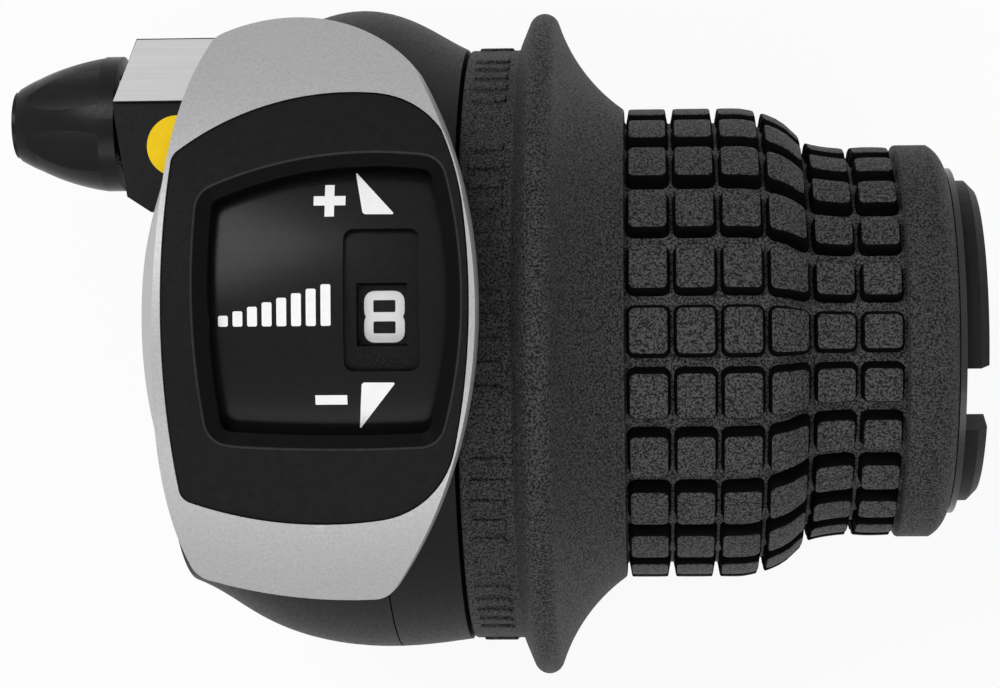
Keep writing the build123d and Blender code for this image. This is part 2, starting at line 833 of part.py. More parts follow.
# Axle and number wheel
axle_end_x = gear_left_x - running_clearance
with BuildPart() as wheel_axle:
    with BuildSketch(across_x(axle_end_x, wheel_axis_y, wheel_axis_z)):
        Circle(axle_radius - bond_gap / 5)
    extrude(amount=-bond_gap - axle_end_x)
    with BuildSketch(across_x(axle_end_x - axle_head_length, wheel_axis_y, wheel_axis_z)):
        Circle(axle_head_radius)
    extrude(amount=axle_head_length)
save(wheel_axle.part, "wheel_axle")

pinion_root = module * pinion_teeth / 2 - gear_dedendum * module
with BuildPart() as number_wheel:
    with BuildSketch(across_x(wheel_left_x, wheel_axis_y, wheel_axis_z)):
        RegularPolygon(wheel_corner_radius, wheel_faces, rotation=90 - 180 / wheel_faces)
    extrude(amount=wheel_width)
    with BuildSketch(across_x(gear_left_x, wheel_axis_y, wheel_axis_z)):
        Circle(pinion_root)
        with PolarLocations(0, pinion_teeth, start_angle=mesh_angle + 180):
            add(gear_tooth(pinion_teeth, pinion_addendum))
    extrude(amount=gear_width)
    with BuildSketch(across_x(gear_right_x, wheel_axis_y, wheel_axis_z)):
        Circle(pinion_root)
    extrude(amount=wheel_clearance)
    with BuildSketch(across_x(gear_left_x, wheel_axis_y, wheel_axis_z)):
        Circle(axle_radius + bond_gap)
    extrude(amount=beyond, mode=Mode.SUBTRACT)
save(number_wheel.part, "number_wheel")

# Cable guide
groove_middle_x = groove_right_x - spool_groove / 2
with BuildPart() as cable_guide:
    with BuildLine(Plane.XZ.offset(-adjuster_y)):
        guide_run = Line(
            (web_left_x - guide_seat, adjuster_z),
            (groove_middle_x - guide_bend, adjuster_z),
        )
        JernArc(guide_run @ 1, guide_run % 1, guide_bend, 90)
    with BuildSketch(across_x(web_left_x - guide_seat, adjuster_y, adjuster_z)):
        Circle(guide_radius)
        Circle(guide_bore, mode=Mode.SUBTRACT)
    sweep()
save(cable_guide.part, "cable_guide")

# Thrust washer
with BuildPart() as thrust_washer:
    with BuildSketch(along_x(washer_left_x)):
        Circle(washer_radius)
        Circle(core_bore, mode=Mode.SUBTRACT)
    extrude(amount=washer_thickness)
save(thrust_washer.part, "thrust_washer")

# Winding drum: spool, index ring and gear sector
gear_root = module * drum_teeth / 2 - gear_dedendum * module
drum_socket = core_neck_radius + bond_gap
groove_floor = pull_radius - cable_radius
with BuildPart() as winding_drum:
    with BuildSketch(Plane.XZ):
        with BuildLine():
            Polyline(
                (drum_left_x, core_bore),
                (drum_left_x, spool_flange_radius),
                (groove_left_x, spool_flange_radius),
                (groove_left_x, groove_floor),
                (groove_right_x, groove_floor),
                (groove_right_x, spool_flange_radius),
                (index_left_x, spool_flange_radius),
                (index_left_x, index_radius),
                (index_right_x, index_radius),
                (index_right_x, gear_root),
                (gear_right_x, gear_root),
                (gear_right_x, drum_socket),
                (drum_socket_x, drum_socket),
                (drum_socket_x, core_bore),
                close=True,
            )
        make_face()
    revolve(axis=Axis.X)
    tooth_angle = 360 / drum_teeth
    with BuildSketch(along_x(gear_left_x)):
        for tooth in range(sector_first_tooth, sector_last_tooth):
            with PolarLocations(0, 1, start_angle=mesh_angle - tooth_angle * (tooth + 0.5)):
                add(gear_tooth(drum_teeth, gear_addendum))
    extrude(amount=gear_width)
    # Keys that drive the drum from the core
    with BuildSketch(along_x(drum_socket_x)):
        with PolarLocations((core_bore + drum_socket) / 2, drum_key_count):
            Rectangle(drum_socket - core_bore + 2 * seat_gap, drum_key_width)
        Circle(core_bore + running_clearance, mode=Mode.SUBTRACT)
    extrude(amount=drum_key_depth)
    # Index notches and the seat of the cable's end
    with BuildSketch(along_x(index_left_x)):
        with PolarLocations(
            index_radius + notch_centre_rise,
            steps + 1,
            start_angle=270 - steps * step_angle,
            angular_range=steps * step_angle,
            endpoint=True,
        ):
            Circle(notch_radius)
    extrude(amount=index_width, mode=Mode.SUBTRACT)
    with BuildSketch(along_x(drum_left_x)):
        with PolarLocations(groove_floor + cable_radius, 1, start_angle=mesh_angle + 90):
            Circle(nipple_radius)
    extrude(amount=groove_right_x - drum_left_x, mode=Mode.SUBTRACT)
save(winding_drum.part, "winding_drum")

# Grip core: the hard tube inside the rubber
neck_end_x = drum_socket_x + seat_gap
with BuildPart() as grip_core:
    with BuildSketch(Plane.XZ):
        with BuildLine():
            Polyline(
                (neck_end_x, core_bore),
                (neck_end_x, core_neck_radius),
                (turning_gap, core_neck_radius),
                (core_flange_x - core_flange_wall, core_neck_radius),
                (core_flange_x - core_flange_wall, core_flange_radius - core_flange_wall),
                (turning_gap, core_flange_radius - core_flange_wall),
                (turning_gap, core_flange_radius),
                (core_flange_x, core_flange_radius),
                (core_flange_x, core_radius),
                (grip_end_x + bond_gap, core_radius),
                (grip_end_x + bond_gap, core_bead_radius),
                (core_end_x, core_bead_radius),
                (core_end_x, core_bore),
                close=True,
            )
        make_face()
    revolve(axis=Axis.X)
    with BuildSketch(along_x(neck_end_x)):
        with PolarLocations((core_bore + drum_socket) / 2, drum_key_count):
            Rectangle(2 * (drum_socket - core_bore), drum_key_width + 2 * running_clearance)
    extrude(amount=drum_key_depth, mode=Mode.SUBTRACT)
save(grip_core.part, "grip_core")

# Rubber grip: band, thumb flange, waisted barrel, end ring and the raised blocks
floor_points = (
    (flare_end[0], floor_radius),
    (floor_slope_start_x, floor_radius),
    (waist_start_x, waist_radius),
    (end_ring_x, waist_end_radius),
)


def floor_at(x):
    """The radius of the rubber between the blocks at a place along the grip."""
    for (x0, r0), (x1, r1) in zip(floor_points, floor_points[1:]):
        if x <= x1:
            return r0 + (r1 - r0) * (x - x0) / (x1 - x0)
    return floor_points[-1][1]


def grip_block(column):
    """One raised block of a column, on top of the grip, following the slope under it."""
    left_x = block_first_x + column * block_pitch
    right_x = left_x + block_pitch - block_gap
    left_r = floor_at(left_x)
    right_r = floor_at(right_x)
    slope = degrees(atan2(left_r - right_r, right_x - left_x))
    length = hypot(right_x - left_x, left_r - right_r)
    middle_r = (left_r + right_r) / 2
    width = 2 * pi * (middle_r + block_height) / block_rows - block_gap
    spread = 2 * (block_height + block_root) * tan(radians(block_draft)) / 2
    seat = Plane(
        origin=((left_x + right_x) / 2, 0, middle_r),
        x_dir=(cos(radians(slope)), 0, -sin(radians(slope))),
        z_dir=(sin(radians(slope)), 0, cos(radians(slope))),
    )
    with BuildPart(mode=Mode.PRIVATE) as block:
        with BuildSketch(seat.offset(-block_root)):
            Rectangle(length + spread, width + spread)
            chamfer(vertices(), block_corner)
        extrude(amount=block_height + block_root, taper=block_draft)
    return block.part


row_turn = 90 + block_phase - 180 / block_rows
row_places = [spin(block_phase + row * 360 / block_rows) for row in range(block_rows)]
with BuildPart() as rubber_grip:
    with BuildSketch(Plane.XZ):
        with BuildLine():
            Polyline(
                (core_flange_x + bond_gap, core_radius + bond_gap),
                (core_flange_x + bond_gap, core_flange_radius + bond_gap),
                (turning_gap, core_flange_radius + bond_gap),
                (turning_gap, band_radius),
                (band_end_x, band_radius),
                flank_top,
            )
            ThreePointArc(flank_top, flange_tip, flare_start)
            ThreePointArc(flare_start, flare_middle, flare_end)
            Polyline(
                flare_end,
                (flare_end[0], waist_end_radius - block_root),
                (end_ring_x, waist_end_radius - block_root),
                (end_ring_x, end_ring_radius),
                (end_ring_x + end_ring_flat, end_ring_radius),
            )
            ThreePointArc(
                (end_ring_x + end_ring_flat, end_ring_radius),
                end_ring_shoulder,
                (grip_end_x, end_ring_face_radius),
            )
            Polyline(
                (grip_end_x, end_ring_face_radius),
                (grip_end_x, core_radius + bond_gap),
                (core_flange_x + bond_gap, core_radius + bond_gap),
            )
        make_face()
    revolve(axis=Axis.X)
    # Floor between the blocks, with one flat under each row of them
    for (left_x, left_radius), (right_x, right_radius) in zip(floor_points, floor_points[1:]):
        for x, radius in ((left_x, left_radius), (right_x, right_radius)):
            with BuildSketch(along_x(x)):
                RegularPolygon(radius, block_rows, major_radius=False, rotation=row_turn)
                Circle(core_radius + bond_gap, mode=Mode.SUBTRACT)
        loft(ruled=True)
    for column in range(block_columns):
        block = grip_block(column)
        with Locations(*row_places):
            add(block)
save(rubber_grip.part, "rubber_grip")

# Cable adjuster: fluted barrel on a threaded tube, with a seat for the cable housing
adjuster_axis = Axis((0, adjuster_y, adjuster_z), (1, 0, 0))
with BuildPart() as adjuster_barrel:
    with BuildSketch(Plane.XZ.offset(-adjuster_y)):
        with BuildLine():
            skirt_end = (barrel_base_x - barrel_skirt, adjuster_z + barrel_radius)
            taper_end = (barrel_tip_x + barrel_tip_round, adjuster_z + barrel_tip_radius)
            tip_edge = (barrel_tip_x, adjuster_z + barrel_tip_face)
            ThreePointArc(
                skirt_end,
                (barrel_base_x - barrel_middle[0], adjuster_z + barrel_middle[1]),
                taper_end,
            )
            TangentArc(taper_end, tip_edge, tangent=(-1, -0.4))
            Polyline(
                tip_edge,
                (barrel_tip_x, adjuster_z + stop_radius + running_clearance),
                (barrel_floor_x, adjuster_z + stop_radius + running_clearance),
                (barrel_floor_x, adjuster_z + adjuster_bolt_radius + bond_gap),
                (barrel_base_x - spring_seat_depth, adjuster_z + adjuster_bolt_radius + bond_gap),
                (barrel_base_x - spring_seat_depth, adjuster_z + spring_seat_radius),
                (barrel_base_x, adjuster_z + spring_seat_radius),
                (barrel_base_x, adjuster_z + barrel_radius),
                skirt_end,
            )
        make_face()
    revolve(axis=adjuster_axis)
    # Broad flutes that run out towards the tip
    for flute in range(flute_count):
        angle = radians(flute * 360 / flute_count)
        out = Vector(0, cos(angle), sin(angle))
        reach = barrel_radius - flute_depth + flute_cutter_radius
        run = Vector(-cos(radians(flute_slant)), 0, 0) - out * sin(radians(flute_slant))
        start = Vector(barrel_base_x - barrel_skirt - flute_start, adjuster_y, adjuster_z) + out * reach
        with BuildSketch(Plane(origin=start, z_dir=run)):
            Circle(flute_cutter_radius)
        extrude(amount=barrel_length, mode=Mode.SUBTRACT)
save(adjuster_barrel.part, "adjuster_barrel")

with BuildPart() as adjuster_bolt:
    with BuildSketch(across_x(barrel_floor_x, adjuster_y, adjuster_z)):
        Circle(adjuster_bolt_radius)
        Circle(cable_hole_radius, mode=Mode.SUBTRACT)
    extrude(amount=boss_left_x + adjuster_bolt_engagement - barrel_floor_x)
save(adjuster_bolt.part, "adjuster_bolt")

with BuildPart() as cable_stop:
    with BuildSketch(across_x(barrel_tip_x - stop_proud, adjuster_y, adjuster_z)):
        Circle(stop_radius)
        Circle(housing_radius + housing_clearance, mode=Mode.SUBTRACT)
    extrude(amount=housing_depth)
    with BuildSketch(across_x(barrel_tip_x - stop_proud + housing_depth, adjuster_y, adjuster_z)):
        Circle(stop_radius)
        Circle(cable_hole_radius, mode=Mode.SUBTRACT)
    extrude(amount=barrel_floor_x - seat_gap - (barrel_tip_x - stop_proud + housing_depth))
save(cable_stop.part, "cable_stop")

# Spring that keeps the barrel from turning by itself
with BuildPart() as adjuster_spring:
    spring_length = spring_seat_depth - 2 * spring_wire - seat_gap
    spring_start = (barrel_base_x - spring_seat_depth + spring_wire + seat_gap / 2, adjuster_y, adjuster_z)
    with BuildLine():
        coil = Helix(
            spring_length / spring_turns,
            spring_length,
            spring_radius,
            center=spring_start,
            direction=(1, 0, 0),
        )
    with BuildSketch(Plane(origin=coil @ 0, z_dir=coil % 0)):
        RegularPolygon(spring_wire, 6)
    sweep(path=coil, is_frenet=True)
save(adjuster_spring.part, "adjuster_spring")
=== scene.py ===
import math

import bpy
from mathutils import Matrix, Vector


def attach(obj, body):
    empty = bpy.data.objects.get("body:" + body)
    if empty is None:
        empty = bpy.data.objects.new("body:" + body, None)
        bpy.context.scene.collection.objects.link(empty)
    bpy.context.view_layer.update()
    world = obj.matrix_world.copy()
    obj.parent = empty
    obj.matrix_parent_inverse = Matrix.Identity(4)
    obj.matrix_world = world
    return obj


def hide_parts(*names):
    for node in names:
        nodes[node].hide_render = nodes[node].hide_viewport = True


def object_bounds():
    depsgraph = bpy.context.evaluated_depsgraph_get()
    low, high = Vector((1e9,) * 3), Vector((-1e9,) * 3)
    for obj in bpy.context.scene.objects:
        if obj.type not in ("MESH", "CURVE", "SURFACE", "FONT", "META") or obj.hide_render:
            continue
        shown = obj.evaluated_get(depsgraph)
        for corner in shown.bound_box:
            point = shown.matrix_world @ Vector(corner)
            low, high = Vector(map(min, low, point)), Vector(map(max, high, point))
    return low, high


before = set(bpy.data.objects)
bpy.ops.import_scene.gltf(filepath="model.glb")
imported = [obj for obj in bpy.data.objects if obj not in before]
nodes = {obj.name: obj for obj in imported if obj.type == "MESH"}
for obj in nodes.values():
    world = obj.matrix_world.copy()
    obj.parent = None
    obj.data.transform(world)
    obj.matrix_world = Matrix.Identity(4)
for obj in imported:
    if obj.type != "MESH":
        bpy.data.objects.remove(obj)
cad_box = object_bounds()

MM = 0.001
scene = bpy.context.scene
scene.view_settings.view_transform = "Standard"


# Materials

# How far fine grain moves a surface's roughness either way
ROUGHNESS_SPREAD = 0.15

# Rubber: painted shade in the hollows and painted light on the pebbles, as shares of the colour, and the
# noise values between which it changes
PEBBLE_PAINTED_SHADE = 0.12
PEBBLE_PAINTED_LIGHT = 2.05
PEBBLE_START = 0.39
PEBBLE_END = 0.61
RUBBER_LEVEL = 0.12


def shader_node(tree, kind, **values):
    """Add a node and set its input sockets by name."""
    node = tree.nodes.new(kind)
    for name, value in values.items():
        node.inputs[name.replace("_", " ")].default_value = value
    return node


def noise(tree, scale, detail, roughness=0.55, brushed=1.0):
    """Object-space noise, with the scale given as features per metre, drawn out along X when brushed."""
    coords = tree.nodes.new("ShaderNodeTexCoord")
    stretch = shader_node(tree, "ShaderNodeMapping", Scale=(brushed, 1, 1))
    texture = shader_node(tree, "ShaderNodeTexNoise", Scale=scale, Detail=detail, Roughness=roughness)
    tree.links.new(coords.outputs["Object"], stretch.inputs["Vector"])
    tree.links.new(stretch.outputs["Vector"], texture.inputs["Vector"])
    return texture.outputs["Fac"]


def spread(tree, source, low, high, start=0.3, end=0.7):
    """Map a noise value to a range of numbers."""
    mapped = shader_node(
        tree,
        "ShaderNodeMapRange",
        From_Min=start,
        From_Max=end,
        To_Min=low,
        To_Max=high,
    )
    tree.links.new(source, mapped.inputs["Value"])
    return mapped.outputs["Result"]


def tint(tree, source, dark, light, start=0.3, end=0.7):
    """Map a noise value to a range of colours."""
    ramp = tree.nodes.new("ShaderNodeValToRGB")
    ramp.color_ramp.elements[0].position = start
    ramp.color_ramp.elements[1].position = end
    ramp.color_ramp.elements[0].color = (*dark, 1)
    ramp.color_ramp.elements[1].color = (*light, 1)
    tree.links.new(source, ramp.inputs["Fac"])
    return ramp.outputs["Color"]


def bump(tree, sources):
    """Chain bumps: each source is a height value, a strength and a depth in metres."""
    normal = None
    for height, strength, depth in sources:
        node = shader_node(tree, "ShaderNodeBump", Strength=strength, Distance=depth)
        tree.links.new(height, node.inputs["Height"])
        if normal is not None:
            tree.links.new(normal, node.inputs["Normal"])
        normal = node.outputs["Normal"]
    return normal


def moulded(
    name, colour, roughness, variation=0.15, grain=2600, depth=0.02, metallic=0.0, level=0.5, brushed=1.0
):
    """A moulded, painted or brushed surface: fine grain, slight mottling and uneven roughness."""
    material = bpy.data.materials.new(name)
    material.use_nodes = True
    tree = material.node_tree
    surface = tree.nodes["Principled BSDF"]
    surface.inputs["Metallic"].default_value = metallic
    surface.inputs["Specular IOR Level"].default_value = level
    dark = [channel * (1 - variation) for channel in colour]
    light = [channel * (1 + variation) for channel in colour]
    mottle = noise(tree, grain / 3, 3, brushed=brushed)
    fine = noise(tree, grain, 2, brushed=brushed)
    tree.links.new(tint(tree, mottle, dark, light), surface.inputs["Base Color"])
    smoothest = roughness * (1 - ROUGHNESS_SPREAD)
    roughest = roughness * (1 + ROUGHNESS_SPREAD)
    tree.links.new(spread(tree, fine, smoothest, roughest), surface.inputs["Roughness"])
    tree.links.new(bump(tree, [(fine, 0.6, depth * MM)]), surface.inputs["Normal"])
    return material


def rubber(name, colour, roughness, pebble, pebble_depth):
    """Rubber: a pebbled skin with painted shade in its hollows and painted light on its pebbles, with fine
    grain on top.
    """
    material = bpy.data.materials.new(name)
    material.use_nodes = True
    tree = material.node_tree
    surface = tree.nodes["Principled BSDF"]
    surface.inputs["Specular IOR Level"].default_value = RUBBER_LEVEL
    coarse = noise(tree, pebble, 2, 0.5)
    fine = noise(tree, 2.7 * pebble, 2)
    # Painted shade in the hollows and painted light on the pebble tops, following the same noise as the
    # bump
    dark = [channel * PEBBLE_PAINTED_SHADE for channel in colour]
    light = [channel * PEBBLE_PAINTED_LIGHT for channel in colour]
    shaded = tint(tree, coarse, dark, light, PEBBLE_START, PEBBLE_END)
    tree.links.new(shaded, surface.inputs["Base Color"])
    tree.links.new(spread(tree, coarse, roughness * 1.1, roughness * 0.85), surface.inputs["Roughness"])
    heights = [(coarse, 0.9, pebble_depth * MM), (fine, 0.5, pebble_depth * MM / 3)]
    tree.links.new(bump(tree, heights), surface.inputs["Normal"])
    return material


def clear(name):
    """A clear plastic window that keeps a thin reflection."""
    material = bpy.data.materials.new(name)
    material.use_nodes = True
    tree = material.node_tree
    surface = tree.nodes["Principled BSDF"]
    surface.inputs["Base Color"].default_value = (0.01, 0.01, 0.011, 1)
    surface.inputs["Alpha"].default_value = 0.05
    surface.inputs["Specular IOR Level"].default_value = 0.1
    haze = noise(tree, 300, 2)
    tree.links.new(spread(tree, haze, 0.14, 0.18), surface.inputs["Roughness"])
    return material


# The display's dome, in millimetres: its cross radius, axis and lengthwise crown
DOME_RADIUS = 33.0
DOME_Y = 3.0
DOME_Z = 1.0
DOME_MIDDLE_X = -10.0
DOME_REACH = 22.0
DOME_DROP = 2.4
DOME_CROWN = (DOME_REACH**2 + DOME_DROP**2) / (2 * DOME_DROP)
BEZEL_SINK = 0.15


def paint_recess_shade_and_highlight(material, reach, stops):
    """Paint shade and a highlight into a material by its depth under the bezel's dome: stops are depths in
    millimetres and shares.
    """
    tree = material.node_tree
    surface = tree.nodes["Principled BSDF"]
    plain = surface.inputs["Base Color"].links[0].from_socket
    coords = tree.nodes.new("ShaderNodeTexCoord")
    offset = tree.nodes.new("ShaderNodeVectorMath")
    offset.operation = "SUBTRACT"
    offset.inputs[1].default_value = (MM * DOME_MIDDLE_X, MM * DOME_Y, MM * DOME_Z)
    tree.links.new(coords.outputs["Object"], offset.inputs[0])
    across = tree.nodes.new("ShaderNodeVectorMath")
    across.operation = "MULTIPLY"
    across.inputs[1].default_value = (0, 1, 1)
    tree.links.new(offset.outputs["Vector"], across.inputs[0])
    length = tree.nodes.new("ShaderNodeVectorMath")
    length.operation = "LENGTH"
    tree.links.new(across.outputs["Vector"], length.inputs[0])
    along = tree.nodes.new("ShaderNodeSeparateXYZ")
    tree.links.new(offset.outputs["Vector"], along.inputs["Vector"])
    square = tree.nodes.new("ShaderNodeMath")
    square.operation = "MULTIPLY"
    tree.links.new(along.outputs["X"], square.inputs[0])
    tree.links.new(along.outputs["X"], square.inputs[1])
    level = tree.nodes.new("ShaderNodeMath")
    level.operation = "MULTIPLY_ADD"
    level.inputs[1].default_value = 1 / (2 * MM * DOME_CROWN)
    tree.links.new(square.outputs[0], level.inputs[0])
    tree.links.new(length.outputs["Value"], level.inputs[2])
    top = DOME_RADIUS - BEZEL_SINK
    depth = spread(tree, level.outputs[0], 0, 1, MM * top, MM * (top - reach))
    ramp = tree.nodes.new("ShaderNodeValToRGB")
    while len(ramp.color_ramp.elements) < len(stops):
        ramp.color_ramp.elements.new(0.5)
    for element, (stop, share) in zip(ramp.color_ramp.elements, stops):
        element.position = stop / reach
        element.color = (share, share, share, 1)
    tree.links.new(depth, ramp.inputs["Fac"])
    product = tree.nodes.new("ShaderNodeVectorMath")
    product.operation = "MULTIPLY"
    tree.links.new(plain, product.inputs[0])
    tree.links.new(ramp.outputs["Color"], product.inputs[1])
    tree.links.new(product.outputs["Vector"], surface.inputs["Base Color"])


head_black = moulded("head_black", (0.008, 0.008, 0.009), 0.5, grain=3400, depth=0.014, level=0.1)
bezel_black = moulded("bezel_black", (0.05, 0.05, 0.054), 0.6, grain=4200, depth=0.006, level=0.06)
# Bezel: its face keeps 0.2 of the colour, a painted highlight line runs along the recess edge 0.06 to 0.15
# mm deep, and painted shade darkens the recess walls below 0.2 mm
paint_recess_shade_and_highlight(bezel_black, 0.5, ((0.0, 0.2), (0.04, 0.2), (0.06, 0.65), (0.15, 0.65), (0.2, 0.03)))
panel_black = moulded("panel_black", (0.006, 0.006, 0.007), 0.25, grain=5000, depth=0.001, level=0.12)
barrel_black = moulded("barrel_black", (0.005, 0.005, 0.006), 0.3, grain=3000, depth=0.004, level=0.14)
core_black = moulded("core_black", (0.012, 0.012, 0.013), 0.28, grain=2400, depth=0.008, level=0.35)
silver = moulded("silver", (0.41, 0.41, 0.418), 0.45, 0.1, 13000, 0.01, metallic=0.3, level=0.3)
plate_silver = moulded(
    "plate_silver", (0.6, 0.6, 0.61), 0.36, 0.06, 12000, 0.004, metallic=0.6, brushed=0.02
)
steel = moulded("steel", (0.5, 0.5, 0.51), 0.3, 0.1, 2200, 0.004, metallic=1.0)
inner_grey = moulded("inner_grey", (0.45, 0.45, 0.43), 0.5, grain=2400, depth=0.01)
wheel_black = moulded("wheel_black", (0.009, 0.009, 0.010), 0.5, grain=4000, depth=0.002, level=0.1)
yellow = moulded("yellow", (0.98, 0.66, 0.006), 0.45, 0.03, 2600, 0.002, level=0.12)
print_white = moulded("print_white", (0.93, 0.93, 0.94), 0.5, 0.02, 4200, 0.001, level=0.2)
grip_rubber = rubber("grip_rubber", (0.029, 0.029, 0.03), 0.62, 5400, 0.08)
block_rubber = rubber("block_rubber", (0.038, 0.038, 0.039), 0.6, 5200, 0.12)
# Lighter rubber for the floor between the blocks: painted light where the blocks' walls shade it
floor_rubber_painted_light = rubber("floor_rubber_painted_light", (0.05, 0.05, 0.051), 0.62, 5200, 0.1)
# Near-black rubber for the blocks' walls: painted shade
wall_rubber_painted_shade = moulded("wall_rubber_painted_shade", (0.003, 0.003, 0.0032), 0.7, grain=2400, depth=0.004, level=0.02)
window_clear = clear("window_clear")

finishes = {
    "housing": head_black,
    "lower_cover": head_black,
    "upper_cover": silver,
    "bezel": bezel_black,
    "display_panel": panel_black,
    "window_lens": window_clear,
    "outlet_plate": plate_silver,
    "round_label": yellow,
    "clamp_bolt": steel,
    "clamp_nut": steel,
    "cover_screws": steel,
    "detent_spring": steel,
    "wheel_axle": steel,
    "cable_guide": inner_grey,
    "thrust_washer": inner_grey,
    "grip_core": core_black,
    "winding_drum": inner_grey,
    "rubber_grip": grip_rubber,
    "number_wheel": wheel_black,
    "adjuster_barrel": barrel_black,
    "adjuster_bolt": barrel_black,
    "cable_stop": barrel_black,
    "adjuster_spring": steel,
}
for node_name, finish in finishes.items():
    node_mesh = nodes[node_name].data
    node_mesh.materials.clear()
    node_mesh.materials.append(finish)


# Mesh helpers

def new_piece(name, vertices, faces, material, body, slot, smooth=True):
    """A mesh piece, given in millimetres in the part's frame, that rides on a body."""
    mesh = bpy.data.meshes.new(name)
    mesh.from_pydata([tuple(MM * value for value in vertex) for vertex in vertices], [], faces)
    mesh.update()
    mesh.materials.append(material)
    for polygon in mesh.polygons:
        polygon.use_smooth = smooth
    piece = bpy.data.objects.new(name, mesh)
    scene.collection.objects.link(piece)
    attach(piece, body)
    return piece


def on_bar(x, radius, angle):
    """A point about the bar axis: the angle is in degrees from straight up, positive about +X."""
    turn = math.radians(angle)
    return (x, -radius * math.sin(turn), radius * math.cos(turn))


def arc_points(start, through, end, count):
    """Points along the circle arc through three points, without the first."""
    (ax, ay), (bx, by), (cx, cy) = start, through, end
    d = 2 * (ax * (by - cy) + bx * (cy - ay) + cx * (ay - by))
    ux = ((ax**2 + ay**2) * (by - cy) + (bx**2 + by**2) * (cy - ay) + (cx**2 + cy**2) * (ay - by)) / d
    uy = ((ax**2 + ay**2) * (cx - bx) + (bx**2 + by**2) * (ax - cx) + (cx**2 + cy**2) * (bx - ax)) / d
    radius = math.hypot(ax - ux, ay - uy)
    a0 = math.atan2(ay - uy, ax - ux)
    a1 = math.atan2(by - uy, bx - ux)
    a2 = math.atan2(cy - uy, cx - ux)
    forward = (a1 - a0) % math.tau < (a2 - a0) % math.tau
    span = (a2 - a0) % math.tau if forward else -((a0 - a2) % math.tau)
    points = []
    for step in range(1, count + 1):
        angle = a0 + span * step / count
        points.append((ux + radius * math.cos(angle), uy + radius * math.sin(angle)))
    return points


def rounded_rectangle(half_x, half_y, radius, corner_steps=4, side_steps=2):
    """Points around a rounded rectangle."""
    points = []
    for sx, sy, turn in ((1, 1, 0), (-1, 1, 90), (-1, -1, 180), (1, -1, 270)):
        for step in range(corner_steps + 1):
            angle = math.radians(turn + 90 * step / corner_steps)
            x = sx * (half_x - radius) + radius * math.cos(angle)
            y = sy * (half_y - radius) + radius * math.sin(angle)
            points.append((x, y))
        from_x, from_y = points[-1]
        next_sx, next_sy = ((-1, 1), (-1, -1), (1, -1), (1, 1))[turn // 90]
        along_x = turn in (0, 180)
        to_x = next_sx * (half_x - radius) if along_x else from_x
        to_y = from_y if along_x else next_sy * (half_y - radius)
        for step in range(1, side_steps + 1):
            share = step / (side_steps + 1)
            points.append((from_x + (to_x - from_x) * share, from_y + (to_y - from_y) * share))
    return points


# Rubber grip: a turned skin with rounded blocks

BAND_LEFT = 0.35
BAND_RADIUS = 27.2
BAND_RIGHT = 4.95
FLANK_TOP = (5.85, 29.6)
FLANGE_TIP = (7.05, 30.5)
FLARE_START = (8.35, 29.6)
FLARE_MIDDLE = (10.5, 25.35)
FLARE_END = (14.15, 21.7)
TOP_RADIUS = 21.65
TOP_LINE = (
    (24.4, TOP_RADIUS),
    (25.9, 21.43),
    (27.3, 21.03),
    (28.7, 20.33),
    (30.1, 19.07),
    (31.0, 18.38),
    (32.4, 18.04),
    (34.2, 17.85),
    (36.4, 17.93),
    (38.85, 17.88),
)
RING_X = 38.85
RING_RADIUS = 18.05
RING_FLAT = 41.85
RING_SHOULDER = (42.85, 17.15)
RING_FACE_RADIUS = 15.25
GRIP_END = 43.4
SKIN_BORE = 14.95
CORE_FLANGE_RADIUS = 24.65
CORE_FLANGE_X = 5.45
BLOCK_ROWS = 24
BLOCK_COLUMNS = 6
BLOCK_FIRST_X = 14.48
BLOCK_PITCH = 4.05
COLUMN_GAP = 0.26
ROW_GAP = 0.8
BLOCK_HEIGHT = 1.35
BLOCK_CORNER = 0.75
BLOCK_PHASE = -2.76
FLOOR_RADIUS = TOP_RADIUS - BLOCK_HEIGHT
FLOOR_STEPS = 40
SKIN_SEGMENTS = 208
EDGE = 0.22
EDGE_BEND = 0.3 * EDGE


def top_radius(x):
    """The radius over the blocks: a smooth line through its points."""
    if x <= TOP_LINE[0][0]:
        return TOP_RADIUS
    slopes = [0.0]
    for before, after in zip(TOP_LINE, TOP_LINE[2:]):
        slopes.append((after[1] - before[1]) / (after[0] - before[0]))
    slopes.append(0.0)
    index = 0
    while index < len(TOP_LINE) - 2 and x > TOP_LINE[index + 1][0]:
        index += 1
    (x0, r0), (x1, r1) = TOP_LINE[index : index + 2]
    span = x1 - x0
    share = min((x - x0) / span, 1.0)
    rest = 1 - share
    return (
        r0 * (1 + 2 * share) * rest**2
        + slopes[index] * span * share * rest**2
        + r1 * (1 + 2 * rest) * share**2
        - slopes[index + 1] * span * rest * share**2
    )


def floor_tilt(x):
    """How much longer a height gets on the slope, measured square to the bar."""
    rise = (top_radius(x + 0.05) - top_radius(x - 0.05)) / 0.1
    return math.sqrt(1 + rise * rise)


def floor_radius(x):
    """The radius between the blocks."""
    return top_radius(x) - BLOCK_HEIGHT * floor_tilt(x)


